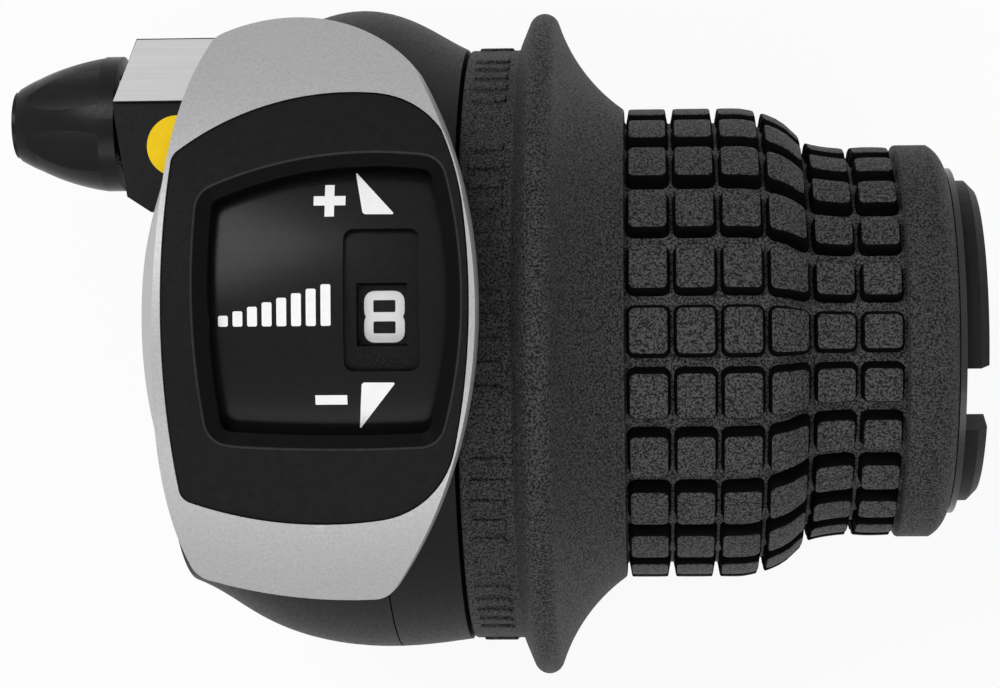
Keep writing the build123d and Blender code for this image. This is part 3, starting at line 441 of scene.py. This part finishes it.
def skin_profile():
    """The skin's outline, from its inner left end round to its bore."""
    points = [(CORE_FLANGE_X, SKIN_BORE), (CORE_FLANGE_X, CORE_FLANGE_RADIUS)]
    points += [(BAND_LEFT, CORE_FLANGE_RADIUS), (BAND_LEFT, BAND_RADIUS - EDGE)]
    points += [(BAND_LEFT + EDGE_BEND, BAND_RADIUS - EDGE_BEND), (BAND_LEFT + EDGE, BAND_RADIUS)]
    points += [(BAND_LEFT + 2 * EDGE, BAND_RADIUS), (BAND_RIGHT - 2 * EDGE, BAND_RADIUS)]
    points += [(BAND_RIGHT - EDGE, BAND_RADIUS), (BAND_RIGHT, BAND_RADIUS + EDGE_BEND)]
    points += [(BAND_RIGHT + 0.15, BAND_RADIUS + 0.6), FLANK_TOP]
    points += arc_points(FLANK_TOP, FLANGE_TIP, FLARE_START, 12)
    points += arc_points(FLARE_START, FLARE_MIDDLE, FLARE_END, 14)
    points += [(FLARE_END[0] + 0.1, FLARE_END[1] - 0.12), (FLARE_END[0] + 0.14, FLARE_END[1] - 0.3)]
    points += [(FLARE_END[0] + 0.18, FLOOR_RADIUS + 0.2), (FLARE_END[0] + 0.3, FLOOR_RADIUS)]
    first = FLARE_END[0] + 0.6
    last = RING_X - 0.3
    for step in range(FLOOR_STEPS + 1):
        x = first + (last - first) * step / FLOOR_STEPS
        points.append((x, floor_radius(x)))
    points += [(RING_X - 0.05, floor_radius(RING_X) + 0.15), (RING_X, RING_RADIUS - EDGE)]
    points += [(RING_X + EDGE_BEND, RING_RADIUS - EDGE_BEND), (RING_X + EDGE, RING_RADIUS)]
    points += [(RING_X + 3 * EDGE, RING_RADIUS), (RING_FLAT, RING_RADIUS)]
    points += arc_points((RING_FLAT, RING_RADIUS), RING_SHOULDER, (GRIP_END, RING_FACE_RADIUS), 10)
    points += [(GRIP_END, RING_FACE_RADIUS - 0.3), (GRIP_END, SKIN_BORE)]
    return points


def turned(name, profile, segments, material, body, slot):
    """A closed ring turned about the bar axis."""
    vertices = []
    for segment in range(segments):
        vertices += [on_bar(x, radius, 360 * segment / segments) for x, radius in profile]
    size = len(profile)
    faces = []
    for segment in range(segments):
        here = segment * size
        there = (segment + 1) % segments * size
        for index in range(size):
            after = (index + 1) % size
            faces.append((here + index, there + index, there + after, here + after))
    return new_piece(name, vertices, faces, material, body, slot)


# How a block narrows with height: drawn in from its foot outline, and the share of its height
BLOCK_LEVELS = (
    (-0.05, -0.12),
    (0.0, 0.0),
    (0.13, 0.5),
    (0.2, 0.82),
    (0.235, 0.92),
    (0.28, 0.975),
    (0.36, 1.0),
    (0.6, 1.005),
    (1.1, 1.01),
)
# How many levels from the foot, the walls and the top rounding, carry the painted shade
PAINTED_SHADE_LEVELS = 5
ROW_DRAFT = 1.7


def raised_block(place, half_x, half_width, height, corner, base_radius, tilt, levels, draft, detail):
    """One raised block on the bar's surface: its vertices and faces."""
    centre_x, angle = place
    vertices = []
    for inset, share in levels:
        radius = max(corner - inset, 0.12)
        outline = rounded_rectangle(half_x - inset, half_width - draft * inset, radius, *detail)
        for x, y in outline:
            rise = base_radius(centre_x + x) + share * height * tilt(centre_x + x)
            turn = angle - math.degrees(y / (base_radius(centre_x) + height))
            vertices.append(on_bar(centre_x + x, rise, turn))
    count = len(vertices) // len(levels)
    faces = []
    for level in range(len(levels) - 1):
        for index in range(count):
            after = (index + 1) % count
            low = level * count
            high = low + count
            faces.append((low + index, low + after, high + after, high + index))
    top = len(vertices) - count
    rise = base_radius(centre_x) + levels[-1][1] * height * tilt(centre_x)
    vertices.append(on_bar(centre_x, rise, angle))
    for index in range(count):
        faces.append((top + index, top + (index + 1) % count, len(vertices) - 1))
    return vertices, faces


def gather(shapes):
    """Join several shapes' vertices and faces into one."""
    vertices, faces = [], []
    for shape_vertices, shape_faces in shapes:
        base = len(vertices)
        vertices += shape_vertices
        faces += [tuple(base + index for index in face) for face in shape_faces]
    return vertices, faces


skin = turned("rubber_skin", skin_profile(), SKIN_SEGMENTS, grip_rubber, "grip", "grip_rubber")
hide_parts("rubber_grip")
skin.data.materials.append(floor_rubber_painted_light)
# The floor between the blocks takes the lighter rubber: painted light
for polygon in skin.data.polygons:
    x, y, z = (value / MM for value in polygon.center)
    between = FLARE_END[0] < x < RING_X and math.hypot(y, z) > SKIN_BORE + 0.5
    polygon.material_index = int(between)

blocks = []
for column in range(BLOCK_COLUMNS):
    half_x = (BLOCK_PITCH - COLUMN_GAP) / 2
    centre_x = BLOCK_FIRST_X + column * BLOCK_PITCH + half_x
    half_width = math.pi * top_radius(centre_x) / BLOCK_ROWS - ROW_GAP / 2
    for row in range(BLOCK_ROWS):
        place = (centre_x, BLOCK_PHASE + row * 360 / BLOCK_ROWS)
        blocks.append(
            raised_block(
                place,
                half_x,
                half_width,
                BLOCK_HEIGHT,
                BLOCK_CORNER,
                floor_radius,
                floor_tilt,
                BLOCK_LEVELS,
                ROW_DRAFT,
                (4, 2),
            )
        )
block_piece = new_piece("rubber_blocks", *gather(blocks), block_rubber, "grip", "grip_rubber")
block_piece.data.materials.append(wall_rubber_painted_shade)
# The blocks' walls and top rounding take the near-black rubber: painted shade, with a dark painted outline
# along each top edge
block_faces = len(blocks[0][1])
painted_shade_faces = PAINTED_SHADE_LEVELS * block_faces // len(BLOCK_LEVELS)
for polygon in block_piece.data.polygons:
    polygon.material_index = int(polygon.index % block_faces < painted_shade_faces)

# Raised bars round the band, in groups
BAR_GROUPS = 12
BARS_IN_GROUP = 5
BAR_STEP = 4.2
BAR_X = 2.7
BAR_HALF_LENGTH = 1.5
BAR_HALF_WIDTH = 0.52
BAR_HEIGHT = 0.22
BAR_CORNER = 0.3
BAR_LEVELS = ((-0.04, -0.2), (0.0, 0.3), (0.03, 0.75), (0.09, 0.95), (0.2, 1.0))
bars = []
for group in range(BAR_GROUPS):
    for bar in range(BARS_IN_GROUP):
        angle = group * 360 / BAR_GROUPS + (bar - (BARS_IN_GROUP - 1) / 2) * BAR_STEP
        bars.append(
            raised_block(
                (BAR_X, angle),
                BAR_HALF_LENGTH,
                BAR_HALF_WIDTH,
                BAR_HEIGHT,
                BAR_CORNER,
                lambda x: BAND_RADIUS,
                lambda x: 1.0,
                BAR_LEVELS,
                1.0,
                (3, 1),
            )
        )
new_piece("band_bars", *gather(bars), grip_rubber, "grip", "grip_rubber")


def dome_height(x, y, sink):
    """The height of the display's dome, a depth under its crown."""
    fall = DOME_CROWN - math.sqrt(DOME_CROWN**2 - (x - DOME_MIDDLE_X) ** 2)
    radius = DOME_RADIUS - sink - fall
    return DOME_Z + math.sqrt(radius**2 - (y - DOME_Y) ** 2)


# Silver web that closes the cover's right wall beside the bezel's corner

COVER_TOP_RIGHT = (-3.2, 23.5)
COVER_RIGHT = (2.35, 3.25)
COVER_LOW_RIGHT = (-5.9, -21.6)
WEB_FROM_Y = 11.9
WEB_TO_Y = 17.9
WEB_DEPTH = 4.1
WEB_THICKNESS = 0.12
WEB_EDGE = 0.012
WEB_PROUD = 0.1
COVER_STEPS = 240

cover_line = [COVER_TOP_RIGHT, *arc_points(COVER_TOP_RIGHT, COVER_RIGHT, COVER_LOW_RIGHT, COVER_STEPS)]
web_line = [(x, y) for x, y in cover_line if WEB_FROM_Y < y < WEB_TO_Y]
web_vertices = []
for x, y in web_line:
    share = (y - WEB_FROM_Y) / (WEB_TO_Y - WEB_FROM_Y)
    outer = x + WEB_EDGE + (WEB_PROUD - WEB_EDGE) * math.sin(math.pi * share)
    inner = outer - WEB_THICKNESS
    low = dome_height(x, y, WEB_DEPTH)
    high = dome_height(x, y, 0.0)
    web_vertices += [(outer, y, low), (outer, y, high), (inner, y, high), (inner, y, low)]
web_faces = [(0, 3, 2, 1), tuple(range(len(web_vertices) - 4, len(web_vertices)))]
for step in range(len(web_line) - 1):
    here = 4 * step
    there = here + 4
    for side in range(4):
        after = (side + 1) % 4
        web_faces.append((here + side, here + after, there + after, there + side))
new_piece("cover_web", web_vertices, web_faces, silver, "head", "silver_cover", smooth=False)


# White print on the panel, laid on its dome

PANEL_SINK = 2.6
PRINT_LIFT = 0.02


def panel_z(x, y):
    """The height of the panel's surface."""
    return dome_height(x, y, PANEL_SINK)


def flat_mark(outline, height, parts=8):
    """A thin mark from a convex outline given anticlockwise, laid over a surface height function."""
    middle = [sum(values) / len(outline) for values in zip(*outline)]
    border = []
    for index, (x, y) in enumerate(outline):
        to_x, to_y = outline[(index + 1) % len(outline)]
        for step in range(parts):
            border.append((x + (to_x - x) * step / parts, y + (to_y - y) * step / parts))
    count = len(border)
    middle_x, middle_y = middle
    flat = []
    for ring in range(parts):
        share = 1 - ring / parts
        flat += [(middle_x + (x - middle_x) * share, middle_y + (y - middle_y) * share) for x, y in border]
    flat.append((middle_x, middle_y))
    vertices = [(x, y, height(x, y) + PRINT_LIFT) for x, y in flat]
    faces = []
    for ring in range(parts - 1):
        for index in range(count):
            low = ring * count + index
            after = ring * count + (index + 1) % count
            faces.append((low, after, after + count, low + count))
    inner = (parts - 1) * count
    for index in range(count):
        faces.append((inner + index, inner + (index + 1) % count, len(flat) - 1))
    skirt = len(vertices)
    vertices += [(x, y, height(x, y) - PRINT_LIFT) for x, y in border]
    for index in range(count):
        after = (index + 1) % count
        faces.append((skirt + index, skirt + after, after, index))
    return vertices, faces


def box_outline(left, bottom, right, top):
    """A rectangle's corners, anticlockwise."""
    return [(left, bottom), (right, bottom), (right, top), (left, top)]


def blunted(outline, size):
    """An outline with each corner cut off by a size."""
    result = []
    for index, corner in enumerate(outline):
        here = Vector(corner)
        before = (Vector(outline[index - 1]) - here).normalized()
        after = (Vector(outline[(index + 1) % len(outline)]) - here).normalized()
        result += [tuple(here + before * size), tuple(here + after * size)]
    return result


PLUS_CENTRE = (-9.8, 11.93)
PLUS_ARM = 1.32
PLUS_HALF = 0.39
MINUS_CENTRE = (-9.73, -4.5)
UP_ARROW = [(-7.7, 14.35), (-7.03, 10.78), (-4.4, 10.76)]
DOWN_ARROW = [(-7.18, -3.08), (-7.46, -6.95), (-4.38, -3.1)]
STEP_BARS = 8
STEP_LEFT = -19.0
STEP_FOOT = 1.6
STEP_PITCH = 1.22
STEP_WIDTH = 0.82
STEP_LOW = 0.9
STEP_RISE = 0.36
ARROW_BLUNT = 0.16
STEP_BLUNT = 0.1
px, py = PLUS_CENTRE
mx, my = MINUS_CENTRE
marks = [
    flat_mark(box_outline(px - PLUS_ARM, py - PLUS_HALF, px + PLUS_ARM, py + PLUS_HALF), panel_z),
    flat_mark(box_outline(px - PLUS_HALF, py + PLUS_HALF, px + PLUS_HALF, py + PLUS_ARM), panel_z),
    flat_mark(box_outline(px - PLUS_HALF, py - PLUS_ARM, px + PLUS_HALF, py - PLUS_HALF), panel_z),
    flat_mark(box_outline(mx - PLUS_ARM, my - PLUS_HALF, mx + PLUS_ARM, my + PLUS_HALF), panel_z),
    flat_mark(blunted(UP_ARROW, ARROW_BLUNT), panel_z),
    flat_mark(blunted(DOWN_ARROW, ARROW_BLUNT), panel_z),
]
for step in range(STEP_BARS):
    left = STEP_LEFT + step * STEP_PITCH
    bar = box_outline(left, STEP_FOOT, left + STEP_WIDTH, STEP_FOOT + STEP_LOW + step * STEP_RISE)
    marks.append(flat_mark(blunted(bar, STEP_BLUNT), panel_z))
new_piece("panel_print", *gather(marks), print_white, "head", "panel_plastic", smooth=False)


# Numbers on the wheel

DIGIT_X = -5.4
WHEEL_Y = 2.5
WHEEL_Z = 22.65
WHEEL_FACES = 9
WHEEL_RADIUS = 7.1
WHEEL_FLAT = WHEEL_RADIUS * math.cos(math.pi / WHEEL_FACES)
DIGIT_DROP = 0.17
DIGIT_LIFT = 0.02
DIGIT_FOOT = -0.01
STROKE_STEP = 0.004
DIGIT_HALF_X = 1.3
DIGIT_HALF_Y = 1.76
STROKE = 0.38
ROUND = 0.55

# Each number as strokes through named places of a digit's frame
PLACES = {
    "a": (-1, 1),
    "b": (1, 1),
    "c": (-1, 0),
    "d": (1, 0),
    "e": (-1, -1),
    "f": (1, -1),
    "t": (0, 1),
    "u": (0, -1),
    "v": (-0.7, 0.65),
}
DIGITS = {
    1: ("vtu",),
    2: ("abdcef",),
    3: ("abdfe", "cd"),
    4: ("acd", "bf"),
    5: ("bacdfe",),
    6: ("bacefdc",),
    7: ("abu",),
    8: ("abdca", "cefdc"),
}


def softened(points, radius, steps=5):
    """Points of a stroke with its corners rounded."""
    closed = points[0] == points[-1]
    ring = [Vector(point) for point in (points[:-1] if closed else points)]
    result = []
    for index, corner in enumerate(ring):
        if not closed and index in (0, len(ring) - 1):
            result.append(corner)
            continue
        before = (ring[index - 1] - corner).normalized()
        after = (ring[(index + 1) % len(ring)] - corner).normalized()
        start = corner + before * radius
        end = corner + after * radius
        for step in range(steps + 1):
            share = step / steps
            result.append(start * (1 - share) ** 2 + corner * 2 * share * (1 - share) + end * share**2)
    return result, closed


def ribbon(points, closed, half):
    """A flat ribbon along points, as left and right offsets."""
    sides = []
    count = len(points)
    for index, point in enumerate(points):
        before = points[index - 1] if closed or index else point
        after = points[(index + 1) % count] if closed or index < count - 1 else point
        ahead = (after - before).normalized()
        side = Vector((-ahead.y, ahead.x))
        sides.append((point + side * half, point - side * half))
    return sides


def digit_shape(digit, face):
    """A digit's strokes on one face of the wheel."""
    alpha = math.radians(90 + face * 360 / WHEEL_FACES)
    normal = Vector((0, math.cos(alpha), math.sin(alpha)))
    up = Vector((0, math.sin(alpha), -math.cos(alpha)))
    right = Vector((1, 0, 0))
    centre = Vector((DIGIT_X, WHEEL_Y, WHEEL_Z)) + normal * WHEEL_FLAT - up * DIGIT_DROP
    shapes = []
    for order, path in enumerate(DIGITS[digit]):
        corners = [(PLACES[p][0] * DIGIT_HALF_X, PLACES[p][1] * DIGIT_HALF_Y) for p in path]
        points, closed = softened(corners, ROUND)
        sides = ribbon(points, closed, STROKE)
        lift = DIGIT_LIFT + STROKE_STEP * order
        vertices = []
        for left, other in sides:
            for flat in (left, other):
                for height in (lift, DIGIT_FOOT):
                    vertices.append(tuple(centre + right * flat.x + up * flat.y + normal * height))
        count = len(sides)
        faces = []
        for index in range(count if closed else count - 1):
            a = 4 * index
            b = 4 * ((index + 1) % count)
            faces += [(a, a + 2, b + 2, b), (a + 1, a, b, b + 1)]
            faces += [(a + 2, a + 3, b + 3, b + 2), (a + 3, a + 1, b + 1, b + 3)]
        if not closed:
            last = 4 * (count - 1)
            faces += [(0, 1, 3, 2), (last, last + 2, last + 3, last + 1)]
        shapes.append((vertices, faces))
    return shapes


digits = []
for face in range(len(DIGITS)):
    digits += digit_shape(len(DIGITS) - face, face)
new_piece("wheel_numbers", *gather(digits), print_white, "indicator", "wheel_plastic", smooth=False)


# Stage: floor, light and camera

FLOOR_DROP = 0.0005
FLOOR_HALF = 2
FLOOR_SHADE = 0.9
FLOOR_GLOW = 0.9
WORLD_LIGHT = 0.35
WORLD_SEEN = 1.0


def seen_ray(tree):
    """One for the rays that show the background: straight to the camera, in gloss and through glass."""
    path = tree.nodes.new("ShaderNodeLightPath")
    seen = path.outputs["Is Camera Ray"]
    for kind in ("Is Glossy Ray", "Is Transmission Ray"):
        either = tree.nodes.new("ShaderNodeMath")
        either.operation = "MAXIMUM"
        tree.links.new(seen, either.inputs[0])
        tree.links.new(path.outputs[kind], either.inputs[1])
        seen = either.outputs[0]
    return seen


def stage_material(name, shade):
    """Pale floor: white to the camera and in reflections, with the object's shadow kept."""
    material = bpy.data.materials.new(name)
    material.use_nodes = True
    tree = material.node_tree
    surface = tree.nodes["Principled BSDF"]
    surface.inputs["Base Color"].default_value = (shade, shade, shade, 1)
    surface.inputs["Roughness"].default_value = 0.9
    surface.inputs["Specular IOR Level"].default_value = 0.0
    glow = shader_node(tree, "ShaderNodeEmission", Color=(1, 1, 1, 1), Strength=1.0)
    scaled = tree.nodes.new("ShaderNodeMath")
    scaled.operation = "MULTIPLY"
    scaled.inputs[1].default_value = FLOOR_GLOW
    tree.links.new(seen_ray(tree), scaled.inputs[0])
    mix = tree.nodes.new("ShaderNodeMixShader")
    tree.links.new(scaled.outputs[0], mix.inputs[0])
    tree.links.new(surface.outputs[0], mix.inputs[1])
    tree.links.new(glow.outputs[0], mix.inputs[2])
    tree.links.new(mix.outputs[0], tree.nodes["Material Output"].inputs["Surface"])
    return material


floor_z = cad_box[0][2] - FLOOR_DROP
floor_mesh = bpy.data.meshes.new("floor")
floor_corners = box_outline(-FLOOR_HALF, -FLOOR_HALF, FLOOR_HALF, FLOOR_HALF)
floor_mesh.from_pydata([(x, y, floor_z) for x, y in floor_corners], [], [(0, 1, 2, 3)])
floor_mesh.materials.append(stage_material("floor_white", FLOOR_SHADE))
floor = bpy.data.objects.new("floor", floor_mesh)
scene.collection.objects.link(floor)


def soft_light(name, place, target, size, power):
    """A large soft area light aimed at a target."""
    data = bpy.data.lights.new(name, "AREA")
    data.shape = "RECTANGLE"
    data.size = size[0]
    data.size_y = size[1]
    data.energy = power
    light = bpy.data.objects.new(name, data)
    light.location = place
    light.rotation_euler = (Vector(target) - Vector(place)).to_track_quat("-Z", "Y").to_euler()
    scene.collection.objects.link(light)


soft_light("key", place=(-0.21, 0.2, 0.45), target=(0, 0, 0), size=(0.22, 0.25), power=1.2)
soft_light("side", place=(0.42, 0.05, 0.22), target=(0.01, 0, 0), size=(0.2, 0.35), power=0.35)
soft_light("low", place=(0.0, -0.36, 0.34), target=(0, 0, 0), size=(0.5, 0.25), power=0.95)

world = bpy.data.worlds.new("studio")
scene.world = world
world.use_nodes = True
world_tree = world.node_tree
background = world_tree.nodes["Background"]
background.inputs["Color"].default_value = (1, 1, 1, 1)
strength = shader_node(world_tree, "ShaderNodeMapRange", To_Min=WORLD_LIGHT, To_Max=WORLD_SEEN)
world_tree.links.new(seen_ray(world_tree), strength.inputs["Value"])
world_tree.links.new(strength.outputs["Result"], background.inputs["Strength"])

CAMERA_DISTANCE = 0.2550
CAMERA_FOOT = (0.01650, 0.0)
CAMERA_AIM = (0.00255, 0.0, 0.0)
CAMERA_LENS = 98.6
CAMERA_ROLL = 0.45

camera_data = bpy.data.cameras.new("camera")
camera_data.lens = CAMERA_LENS
camera_data.sensor_width = 36
camera_data.clip_start = 0.01
camera = bpy.data.objects.new("camera", camera_data)
camera.location = (*CAMERA_FOOT, CAMERA_DISTANCE)
ahead = (Vector(CAMERA_AIM) - camera.location).normalized()
sideways = ahead.cross(Vector((0, 1, 0))).normalized()
upward = sideways.cross(ahead)
look = Matrix((sideways, upward, -ahead)).transposed().to_4x4()
camera.matrix_world = (
    Matrix.Translation(camera.location) @ look @ Matrix.Rotation(math.radians(-CAMERA_ROLL), 4, "Z")
)
scene.collection.objects.link(camera)
scene.camera = camera
